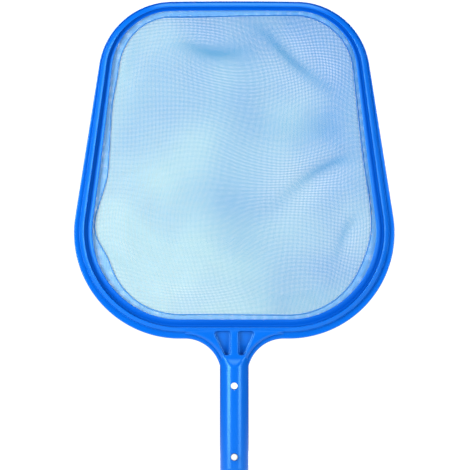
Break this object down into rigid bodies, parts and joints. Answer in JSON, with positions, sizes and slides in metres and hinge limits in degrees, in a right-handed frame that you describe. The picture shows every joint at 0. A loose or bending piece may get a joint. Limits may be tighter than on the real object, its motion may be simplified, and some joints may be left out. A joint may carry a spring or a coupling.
{
  "type": "pool leaf skimmer net head",
  "caption": "Flat pool leaf skimmer head: moulded rim with a clamped mesh net, a gusseted neck and a hollow handle stub with a V spring locking clip.",
  "frame": {"origin": "centre of the handle's open end, where the pole holds the head", "axes": "+Z along the handle into the head, -Y out of the head's front, +X to the right seen from the front"},
  "size_m": [0.3168, 0.0364, 0.4651],
  "materials": {
    "frame_plastic": "glossy moulded polypropylene, saturated blue",
    "ring_plastic": "satin moulded polypropylene, saturated blue",
    "net_mesh": "fine pale-blue monofilament mesh, see-through between its threads",
    "hem_mesh": "doubled pale-blue monofilament mesh",
    "spring_steel": "bright stainless spring strip",
    "button_plastic": "white acetal, slightly glossy"
  },
  "bodies": {
    "head": {"frame_moulding": "frame_plastic", "net_retaining_ring": "ring_plastic", "mesh_net": "net_mesh", "net_hem": "hem_mesh", "clip_spring": "spring_steel"},
    "front_button": {"clip_button_front": "button_plastic"},
    "back_button": {"clip_button_back": "button_plastic"}
  },
  "joints": [
    {"name": "front_button_press", "type": "slide", "parent": "head", "child": "front_button", "axis": [0, 1, 0], "range_m": [0, 0.0044], "stiffness_N_per_m": 1500, "springref_m": -0.003, "deforming": ["clip_spring"]},
    {"name": "back_button_press", "type": "slide", "parent": "head", "child": "back_button", "axis": [0, -1, 0], "range_m": [0, 0.0044], "stiffness_N_per_m": 1500, "springref_m": -0.003, "deforming": ["clip_spring"]}
  ]
}
